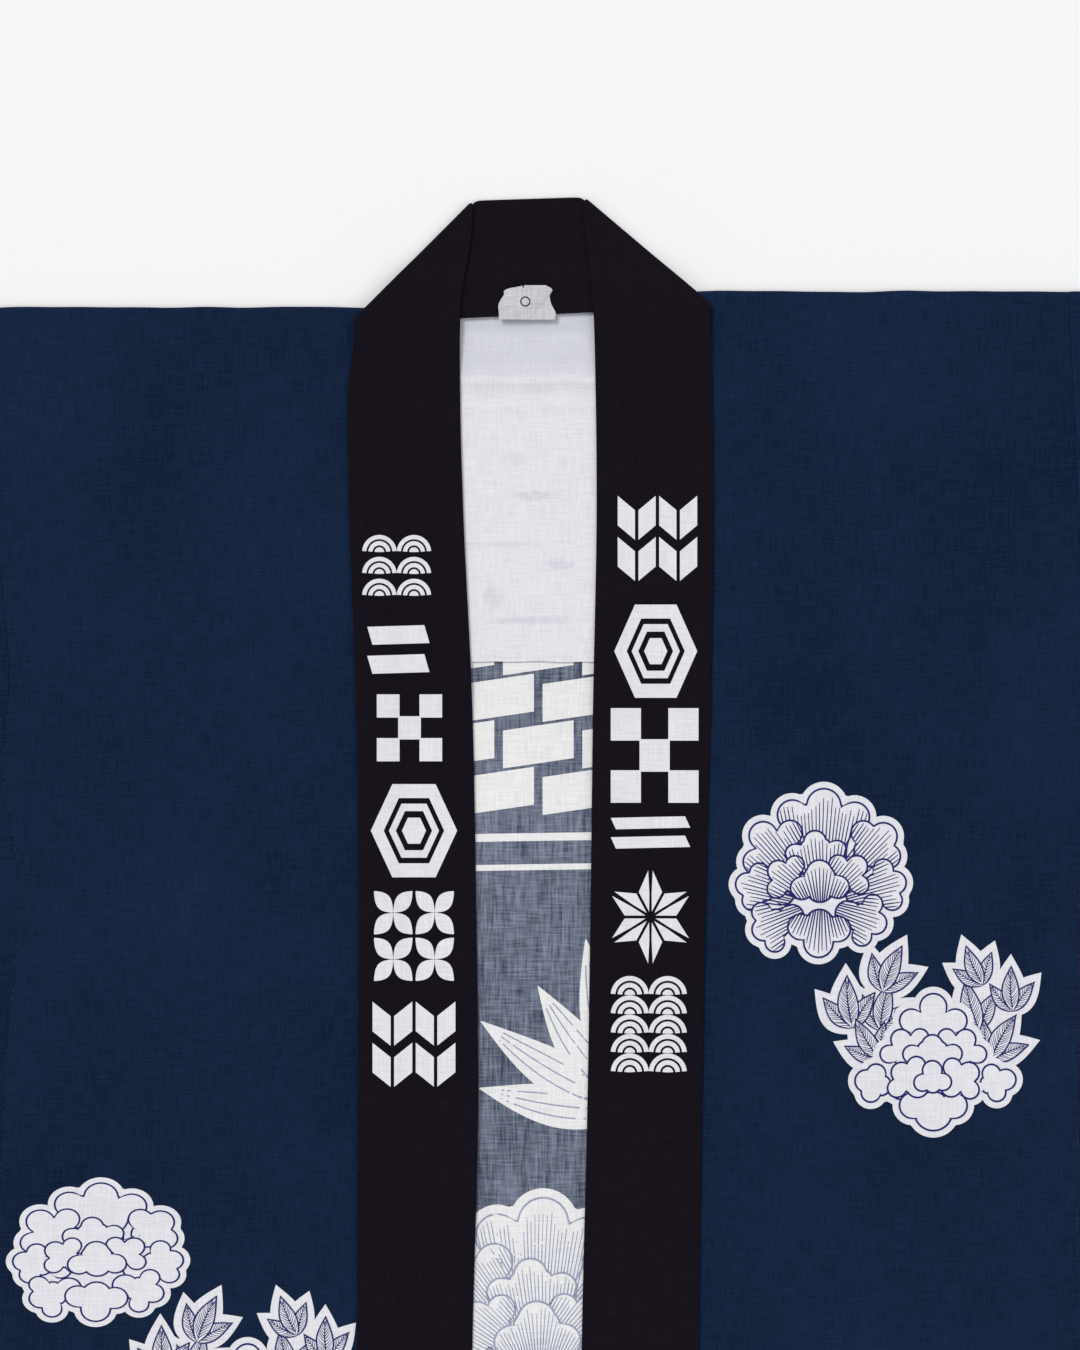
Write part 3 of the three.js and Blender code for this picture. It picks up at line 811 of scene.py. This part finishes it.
def wayOut(lobes, fromX, fromY, angle, entering=False):
    # distance along a ray to where it leaves the last circle, or where it enters the first
    lobeX, lobeY, radius = (v.reshape(-1, *([1] * angle.ndim)) for v in lobes)
    ahead = (lobeX - fromX) * np.cos(angle) + (lobeY - fromY) * np.sin(angle)
    room = radius**2 - ((lobeX - fromX) ** 2 + (lobeY - fromY) ** 2 - ahead**2)
    half = np.sqrt(np.maximum(room, 0))
    if entering:
        return np.where(room > 0, ahead - half, 1e3).min(0)
    return np.where(room > 0, ahead + half, 0).max(0)


def addPetal(white, ink, at, petal, level, hatch, draw, squash):
    turn, reach = petal[:2]
    lobes = petalLobes(*petal)
    heartX, heartY = lobes[0][3], lobes[1][3]
    radius, angle = disc(21)
    out = wayOut(lobes, heartX, heartY, angle)
    white.patch(at[0] + heartX + radius * out * np.cos(angle),
                at[1] + (heartY + radius * out * np.sin(angle)) * squash, level)
    # the outline: a ribbon inside the edge, wider along a ray where the edge runs aslant
    angle = np.linspace(0, 2 * pi, 145)
    out = wayOut(lobes, heartX, heartY, angle)
    slant = np.gradient(out, angle) / out
    across = 1.15 * np.minimum(np.sqrt(1 + slant**2), 2.0)
    out = np.stack([out, out - across], 1)
    angle = angle[:, None]
    ink.patch(at[0] + heartX + out * np.cos(angle),
              at[1] + (heartY + out * np.sin(angle)) * squash, level + 1)
    if not hatch:
        return
    # hatching: lines fanning from behind the root towards the edge, of uneven lengths
    behind = reach * 0.75
    fromX, fromY = -behind * np.cos(np.radians(turn)), -behind * np.sin(np.radians(turn))
    spacing = 2.05 / (reach * 0.8 + behind)
    fan = np.radians(turn) + np.arange(-22, 23) * spacing + draw.uniform(-0.1, 0.1, 45) * spacing
    start, end = wayOut(lobes, fromX, fromY, fan, True), wayOut(lobes, fromX, fromY, fan)
    whole = end - start
    some = (end > 0) & (whole > 4)
    fan, start, end, whole = fan[some], start[some], end[some], whole[some]
    finish = start + whole * draw.uniform(0.80, 0.93, len(fan)) - 0.6
    start = start + 0.8
    t = np.linspace(0, 1, 7)[None]
    far = start[:, None] + (finish - start)[:, None] * t
    x = fromX + far * np.cos(fan[:, None])
    y = fromY + far * np.sin(fan[:, None])
    ink.ribbon(at[0] + x, at[1] + y * squash, (0.85 - 0.4 * t**2)[0], level + 1)


def addFlower(white, ink, at, petals, level, hatch=False, seed=1, squash=1.0, rim=3.5):
    draw = np.random.default_rng(seed)
    for k, petal in enumerate(petals):  # the white rim behind everything
        lobes = petalLobes(*petal)
        radius, angle = disc(21)
        grown = (lobes[0], lobes[1], lobes[2] + rim)
        out = wayOut(grown, lobes[0][3], lobes[1][3], angle)
        white.patch(at[0] + lobes[0][3] + radius * out * np.cos(angle),
                    at[1] + (lobes[1][3] + radius * out * np.sin(angle)) * squash, level - 7 + 0.5 * k)
    for k, petal in enumerate(petals):
        addPetal(white, ink, at, petal, level + 2 * k + 1, hatch, draw, squash)


# petals from back to front: turn, reach and radius of the tip lobe, then angle and share of reach of the
# side lobes
fullPeony = [
    (88, 57, 10.4, 19.5, 0.95), (130, 51.6, 8.7, 17, 0.87), (47, 53.5, 8.5, 12, 0.9), (165, 44, 7.2, 12, 0.9),
    (16, 44.8, 7.2, 13, 0.93), (204, 36.3, 7, 16, 0.95), (341, 33.8, 7, 19, 0.9), (267, 22.5, 9, 38, 0.78),
    (95, 36.2, 7, 22, 0.9), (142, 31, 6.7, 19, 0.87), (46, 30.4, 6.7, 20, 0.83), (92, 18, 8, 48, 0.79),
]
openPeony = [
    (90, 54, 8.3, 15.5, 0.885), (118, 39.9, 6.4, 16, 0.93), (62, 39.9, 6.4, 16, 0.93),
    (91, 31.9, 6.6, 24, 0.92),
    (164, 40.6, 6.9, 9, 0.9), (16, 43.6, 6.5, 9, 0.85), (270, 8.4, 9, 76, 1.5), (139, 24.3, 6.6, 23, 0.92),
    (38, 26, 6.6, 22, 0.85), (92, 17.3, 6.2, 30, 0.69),
]
# leaves from back to front: where they grow from, the way they point and their length
leftSpray = [(-30.8, 20, 78, 29.7), (-29.4, 42.2, 67, 30), (-46.7, 21.4, 96, 31.6), (-30.8, 3.3, 121, 28.3)]
rightSpray = [(26.8, 20, 105, 31.6), (28.8, 46.3, 113, 25.6), (46.2, 31.1, 92, 27), (33, 2.6, 60.5, 31)]


def bladePoints(x, y, turn, length, width, t, s):
    # a pointed blade: half as wide as "width" times the sine of pi * t^0.8, bending a little to one side
    turn = np.radians(turn)
    half = width / 2 * np.sin(pi * np.clip(t, 0, 1) ** 0.8)
    along_, across = t * length, s * half + 0.04 * length * np.sin(pi * t)
    return (x + along_ * np.cos(turn) - across * np.sin(turn),
            y + along_ * np.sin(turn) + across * np.cos(turn))


def addBlade(white, ink, at, x, y, turn, length, width, level, draw, squash):
    t, s = np.linspace(0.01, 0.995, 17)[:, None], np.linspace(-1, 1, 5)[None]
    place = lambda px, py: (at[0] + px, at[1] + py * squash)
    white.patch(*place(*bladePoints(x, y, turn, length, width, t, s)), level)
    half = width / 2 * np.sin(pi * t**0.8)
    inner = np.clip(1 - 0.95 / half, 0, 1)
    for side in (-1, 1):
        edge = np.concatenate([0 * t + side, side * inner], 1)
        ink.patch(*place(*bladePoints(x, y, turn, length, width, t + 0 * edge, edge)), level + 1)
    rib = np.concatenate([0 * t - 0.09, 0 * t + 0.09], 1) * (1 - 0.5 * t)
    ink.patch(*place(*bladePoints(x, y, turn, length, width, t + 0 * rib, rib)), level + 1)
    q = np.linspace(0, 1, 5)[None]
    root = np.arange(0.1, 0.84, 1.75 / length)
    for side in (-1, 1):
        start = root[:, None] + draw.uniform(-0.01, 0.01, (len(root), 1))
        reach = draw.uniform(0.72, 0.86, (len(root), 1))
        lines = bladePoints(x, y, turn, length, width, start + 0.17 * q**1.2, side * q * reach)
        ink.ribbon(*place(*lines), (0.6 - 0.35 * q)[0], level + 1)


def addSpray(white, ink, at, leaves, level, seed, squash=1.0):
    draw = np.random.default_rng(seed)
    t, s = np.linspace(0.005, 0.998, 17)[:, None], np.linspace(-1, 1, 7)[None]
    for k, (x, y, turn, length) in enumerate(leaves):
        for side, share, wide in ((38, 0.80, 0.42), (-38, 0.80, 0.42), (0, 1.0, 0.40)):
            aim, size = np.radians(turn + side), length * share
            back = 3.5
            grown = bladePoints(x - back * np.cos(aim), y - back * np.sin(aim), turn + side,
                                size + 10, size * wide + 8.5, t, s)
            white.patch(at[0] + grown[0], at[1] + grown[1] * squash,
                        level - 13 + 1.5 * k + 0.5 * (side != 38) + 0.5 * (side == 0))
            addBlade(white, ink, at, x, y, turn + side, size, size * wide,
                     level + 6 * k + 1 + (side != 38) + (side == 0) * 2, draw, squash)


def frontTop(x, y):
    return frontHeight(x, -y) + coat["cloth"] / 2 + 0.30


def printFronts():
    white, ink = Print(frontTop), Print(frontTop)
    addFlower(white, ink, (169.5, -348.5), fullPeony, 0, hatch=True, seed=2)
    for x, y, seed in ((234.9, -442, 3), (-162.4, -645, 4)):
        addSpray(white, ink, (x, y), leftSpray, 0, seed)
        addSpray(white, ink, (x, y), rightSpray, 0.25, seed + 10)
        addFlower(white, ink, (x, y - 20.2), openPeony, 32, seed=seed)
    addFlower(white, ink, (-249.4, -565), fullPeony, 0, seed=6, squash=0.82)
    white.make("frontPrintWhite", whitePrint, "white_print")
    ink.make("frontPrintInk", violetInk, "violet_ink")


printFronts()
print("front prints")


# ---------- neck tag: a small cotton label lying on the collar, one corner creased
tagRows = [
    {"down": -9.8, "right": -2, "left": 10.2},
    {"down": -8, "right": -11, "left": 13.6},
    {"down": -4, "right": -14, "left": 12.6},
    {"down": 0.6, "right": -16.8, "left": 13.4},
    {"down": 7, "right": -16.8, "left": 16.2},
    {"down": 10, "right": -16.8, "left": 15.6},
]


def tagHeight(x, y):
    room = collar["wall"] + coat["gap"] + 0.45
    # right of a slanting crease it lies lower
    crease = 0.45 * ease(-0.5, 0.5, (x - 4.5) * 0.77 - (y + 5.0) * 0.64)
    puff = 0.35 * softNoise(x, y, 51, 12) + 0.12 * softNoise(x, y, 52, 4)
    return neckBase(x, y) + room + 0.35 - crease + puff * ease(-10.5, -5, y)


def makeTag():
    down = steps(tagRows[0]["down"], tagRows[-1]["down"], 0.5)[:, None]
    f = np.linspace(0, 1, 61)[None]
    x = mix(along(tagRows, "right", down), along(tagRows, "left", down), f)
    surface = np.stack([x, -down + 0 * x, tagHeight(x, -down)], 2)[::-1]
    uv = np.stack([surface[:, :, 0] * mm, surface[:, :, 1] * mm], 2)
    made = clothSheet("neckTagCloth", surface, uv, [tagCotton, tagCotton], thick=0.3)
    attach(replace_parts(made, "neck_tag"), "root")


makeTag()
print("neck tag")


# ---------- collar print: bold blocks of old textile patterns down both bands
def clothTop(height, lift):
    return lambda x, y: height(x, y) + lift


def block(printing, corners, level=0):
    # a four-cornered patch, cut into cells of about 2.5 mm
    a, b, c, d = (np.array(corner, float) for corner in corners)
    rows = max(2, int(max(np.hypot(*(d - a)), np.hypot(*(c - b))) / 2.5) + 1)
    columns = max(2, int(max(np.hypot(*(b - a)), np.hypot(*(c - d))) / 2.5) + 1)
    u, v = np.linspace(0, 1, columns)[None], np.linspace(0, 1, rows)[:, None]
    x = mix(mix(a[0], b[0], u), mix(d[0], c[0], u), v)
    y = mix(mix(a[1], b[1], u), mix(d[1], c[1], u), v)
    printing.patch(x, y, level)


def arc(printing, x, y, inner, outer, start, end, level=0):
    angle = np.radians(np.linspace(start, end, int(abs(end - start) / 7) + 2))[:, None]
    reach = np.linspace(inner, outer, max(2, int((outer - inner) / 2.5) + 1))[None]
    printing.patch(x + reach * np.cos(angle), y + reach * np.sin(angle), level)


def checks(printing, x, y, wide, tall, across=3, down=3):
    for i in range(across):
        for j in range(down):
            if (i + j) % 2 == 0:
                left, top = x - wide / 2 + wide * i / across, y + tall / 2 - tall * j / down
                right, low = left + wide / across + 0.8, top - tall / down - 0.8
                block(printing, [(left, top), (right, top), (right, low), (left, low)])


def arrowFeathers(printing, x, y, wide, tall, across=2, down=2):
    half, step = wide / across / 2, tall / (down + 0.35)
    for i in range(across):
        for j in range(down):
            middle, top = x - wide / 2 + half * (2 * i + 1), y + tall / 2 - step * j
            for sign in (-1, 1):
                edge, rib = middle + sign * (half - 1), middle + sign * 1.0
                block(printing, [(rib, top - step * 0.35), (edge, top), (edge, top - step * 0.72),
                                 (rib, top - step * 1.07)])


def tortoise(printing, x, y, wide, tall):
    angle = np.radians(np.arange(0, 361, 60))
    place = lambda reach, t: (x + wide / 2 * reach * np.cos(t), y + tall / 2 * reach * np.sin(t) / 0.866)
    for inner, outer in ((0.42, 0.58), (0.70, 1.0)):
        for a, b in zip(angle[:-1], angle[1:]):
            block(printing, [place(inner, a), place(outer, a), place(outer, b), place(inner, b)])
    for k in (0, 3):  # the middle one, in two halves
        block(printing, [place(0.28, angle[k + i]) for i in range(4)])


def hempLeaf(printing, x, y, wide, tall):
    # twelve long triangles round the middle, in pairs that make six points
    for turn in np.arange(0, 360, 60) + 30:
        for sign in (-1, 1):
            place = lambda reach, angle: (x + wide / 2 * reach * np.cos(np.radians(angle)),
                                          y + tall / 2 * reach * np.sin(np.radians(angle)))
            block(printing, [place(0.12, turn + sign * 15), place(0.6, turn + sign * 27),
                             place(1.0, turn + sign * 3), place(0.5, turn + sign * 3)])


def linkedCircles(printing, x, y, wide, tall):
    # petals where circles of one size overlap: four round each of the middles
    size = wide / 4
    t, s = np.linspace(0.02, 0.98, 13)[:, None], np.linspace(-1, 1, 5)[None]
    for i in (-1, 1):
        for j in (-1, 1):
            for turn in (45, 135, 225, 315):
                aim = np.radians(turn)
                reach, off = t * size * 1.32, s * size * 0.36 * np.sin(pi * t)
                printing.patch(x + i * size + reach * np.cos(aim) - off * np.sin(aim),
                               y + j * tall / 4 + (reach * np.sin(aim) + off * np.cos(aim)) * tall / wide, 0)


def waves(printing, x, y, wide, tall, across=2):
    radius = wide / across / 2 - 0.6
    rows = round(tall / (radius + 1.5))
    for j in range(rows):
        for i in range(across):
            middle, low = x - wide / 2 + wide / across * (i + 0.5), y + tall / 2 - tall / rows * (j + 1) + 1
            for inner, outer in ((0.0, 0.30), (0.42, 0.68), (0.80, 1.06)):
                arc(printing, middle, low, radius * max(inner, 0.02), radius * outer, 4, 176)


def bars(printing, x, y, wide, tall):
    for sign in (-1, 1):
        top, low = y + sign * tall * 0.28 + tall * 0.19, y + sign * tall * 0.28 - tall * 0.19
        block(printing, [(x - wide / 2, top - 1), (x + wide / 2 - 3, top),
                         (x + wide / 2, low + 1), (x - wide / 2 + 3, low)])


collarBlocks = [
    {"motif": waves, "x": -76, "down": 152, "wide": 40, "tall": 38},
    {"motif": bars, "x": -75, "down": 201, "wide": 36, "tall": 30},
    {"motif": checks, "x": -69, "down": 246, "wide": 37, "tall": 38},
    {"motif": tortoise, "x": -66, "down": 306, "wide": 50, "tall": 54},
    {"motif": linkedCircles, "x": -66, "down": 367, "wide": 48, "tall": 54},
    {"motif": arrowFeathers, "x": -66, "down": 433, "wide": 50, "tall": 56},
    {"motif": arrowFeathers, "x": 75, "down": 140, "wide": 48, "tall": 56},
    {"motif": tortoise, "x": 74, "down": 202, "wide": 48, "tall": 54},
    {"motif": checks, "x": 73, "down": 262, "wide": 50, "tall": 54},
    {"motif": bars, "x": 71, "down": 307, "wide": 46, "tall": 20},
    {"motif": hempLeaf, "x": 71, "down": 356, "wide": 50, "tall": 54},
    {"motif": waves, "x": 70, "down": 419, "wide": 44, "tall": 56},
]


def printCollar():
    white = Print(clothTop(bandTop, 0.12))
    for placed in collarBlocks:
        placed["motif"](white, placed["x"], -placed["down"], placed["wide"], placed["tall"])
    white.make("collarPrint", whitePrint, "white_print")


printCollar()
print("collar print")


# ---------- back print: dyed through, so it is pale inside the back too and white outside, under the coat
def backTop(x, y):
    return backHeight(x, -y) + coat["cloth"] / 2 + 0.20


def backUnder(x, y):
    return backHeight(x, -y) - coat["cloth"] / 2 - 0.03 + 0 * y


def drawBack(white, ink, level):
    # slanting bricks, two lines across, a spray of long leaves and one large flower
    for k in range(-5, 6):
        for j in range(6):
            x, low, wide, tall = k * 46 + 23 * (j % 2) + 6, 137 + j * 27, 20.5, 22
            block(white, [(x - wide, -low - 3), (x + wide, -low + 3), (x + wide, -low - tall + 3),
                          (x - wide, -low - tall - 3)], level)
    for down, tall in ((308, 4.6), (326, 3.5)):
        block(white, [(-290, -down - 4), (290, -down + 5),
                      (290, -down + 5 - tall), (-290, -down - 4 - tall)], level)
    draw = np.random.default_rng(8)
    t, s = np.linspace(0.01, 0.99, 25)[:, None], np.linspace(-1, 1, 7)[None]
    for k, turn in enumerate((172, 150, 128, 106, 84, 62, 40, 18)):
        x, y = bladePoints(62, -468, turn, 92 + 12 * (k % 2), 26, t, s)
        white.patch(x, y, level + 2 * k)
        for side in (-0.5, 0, 0.5):
            x, y = bladePoints(62, -468, turn, 92 + 12 * (k % 2), 26, np.linspace(0.25, 0.85, 13)[None], side)
            ink.ribbon(x, y, 0.8 + 0 * x[0], level + 2 * k + 1)
    large = [(turn, reach * 1.45, lobe * 1.45, aside, share) for turn, reach, lobe, aside, share in fullPeony]
    addFlower(white, ink, (6, -616), large, level + 8, hatch=True, seed=9, rim=5)


def printBack():
    white, ink = Print(backTop), Print(backTop)
    drawBack(white, ink, 0)
    white.make("backPrintInside", palePrint, "white_print")
    ink.make("backInkInside", greyInk, "violet_ink")
    white, ink = Print(backUnder, -0.0015), Print(backUnder, -0.0015)
    drawBack(white, ink, 0)
    white.make("backPrintOutside", whitePrint, "white_print", facing=-1)
    ink.make("backInkOutside", violetInk, "violet_ink", facing=-1)


printBack()
print("back print")


# ---------- stitching: short dashes half sunk in the cloth, joined into one mesh a colour
def addDashes(points, path, pitch=3.2, length=2.1, radius=0.22):
    # dashes evenly spaced along a path of points, each a lens of three rings of four
    run = np.concatenate([[0], np.cumsum(np.linalg.norm(np.diff(path, axis=0), axis=1))])
    middle = np.arange(pitch / 2, run[-1], pitch)
    at = lambda where: np.stack([np.interp(where, run, path[:, k]) for k in range(3)], 1)
    ahead = at(middle + 0.5) - at(middle - 0.5)
    ahead = ahead / np.maximum(np.linalg.norm(ahead, axis=1, keepdims=True), 1e-6)
    across = np.stack([-ahead[:, 1], ahead[:, 0], 0 * ahead[:, 0]], 1)
    rings = []
    for where, share in ((-0.5, 0.3), (0, 1), (0.5, 0.3)):
        for turn in np.arange(4) * pi / 2:
            rings.append(at(middle) + ahead * where * length
                         + (across * np.cos(turn) + np.array([0, 0, np.sin(turn)])) * radius * share)
    points.append(np.stack(rings, 1))


def makeStitches(name, dashes, material):
    points = np.concatenate(dashes)
    sides = [(i + j, i + (j + 1) % 4, i + 4 + (j + 1) % 4, i + 4 + j) for i in (0, 4) for j in range(4)]
    quads = np.array(sides + [(3, 2, 1, 0), (8, 9, 10, 11)])
    faces = (np.arange(len(points))[:, None, None] * 12 + quads).reshape(-1, 4)
    flat = points.reshape(-1, 3)
    made = makeObject(name, flat, faces, [material], flat[:, :2] * mm)
    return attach(made, "root")


def stitchEverything():
    dark, blue, pale = [], [], []
    down = steps(14, coat["length"] - 4, 4)
    for side, inward in (("right", 1), ("left", -1)):
        x = along(collarEdges, side + "Outer", down) + inward * 2.2
        addDashes(dark, np.stack([x, -down, bandTop(x, -down) + 0.02], 1))
        x = np.linspace(along(sideEdges, side, coat["length"] - 22) + inward * 2, x[-1] - inward * 6, 60)
        y = 0 * x - coat["length"] + 22
        addDashes(blue, np.stack([x, y, frontTop(x, y) - 0.3], 1))
        cuffDown = steps(8, coat["armhole"] - 8, 5)
        x = 0 * cuffDown - inward * (coat["cuff"] - 20)
        addDashes(blue, np.stack([x, -cuffDown, sleeveTop(x, cuffDown) + coat["cloth"] / 2], 1))
    x = steps(-50, 50, 3)
    low = coat["liningHem"] - 2.5
    addDashes(pale, np.stack([x, 0 * x - low, liningHeight(x, low) + coat["cloth"] / 2], 1), radius=0.16)
    x = steps(-15, 14, 1.5)
    y = 0 * x - 8.6
    addDashes(pale, np.stack([x, y, tagHeight(x, y) + 0.15], 1), pitch=2.4, length=1.5, radius=0.14)
    makeStitches("collarStitches", dark, darkThread)
    makeStitches("hemStitches", blue, navyThread)
    makeStitches("liningStitches", pale, whiteThread)


def cord(name, path, radius, material):
    # a round thread along a path of points
    ahead = np.gradient(path, axis=0)
    ahead = ahead / np.linalg.norm(ahead, axis=1, keepdims=True)
    across = np.cross(ahead, (0, 0, 1))
    across = across / np.linalg.norm(across, axis=1, keepdims=True)
    up = np.cross(across, ahead)
    turn = np.linspace(0, 2 * pi, 9)[:-1, None, None]
    tube = (path + radius * (across * np.cos(turn) + up * np.sin(turn))).reshape(8, -1, 3)
    closed = np.concatenate([tube, tube[:1]])
    points = closed.reshape(-1, 3)
    made = makeObject(name, points, gridQuads(*closed.shape[:2]), [material], points[:, :2] * mm)
    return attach(made, "root")


def makeTagMarks():
    # a loop of dark thread at the top edge, and a plain pen ring in the middle
    turn = np.linspace(-0.15 * pi, 1.15 * pi, 40)
    x, y = -5.2 + 2.6 * np.cos(turn), 9.4 + 1.7 * np.sin(turn)
    loop = np.stack([x, y, tagHeight(x, np.minimum(y, 9)) + 0.35], 1)
    cord("tagLoop", loop, 0.32, darkThread)
    ring = Print(lambda px, py: tagHeight(px, py) + 0.19)
    arc(ring, -1.5, 0.4, 2.2, 3.0, 0, 356)
    ring.make("tagRing", penInk, "violet_ink")


stitchEverything()
makeTagMarks()
print("stitches")


# ---------- floor and the end
def makeFloor():
    half, low = 6000, -0.4
    corners = [(-half, -half, low), (half, -half, low), (half, half, low), (-half, half, low)]
    finish = Finish("floorPaper", 0.9, 0.0)
    finish.shader.inputs["Base Color"].default_value = (0.87, 0.87, 0.87, 1)
    makeObject("floor", corners, [(0, 1, 2, 3)], [finish.material])


makeFloor()
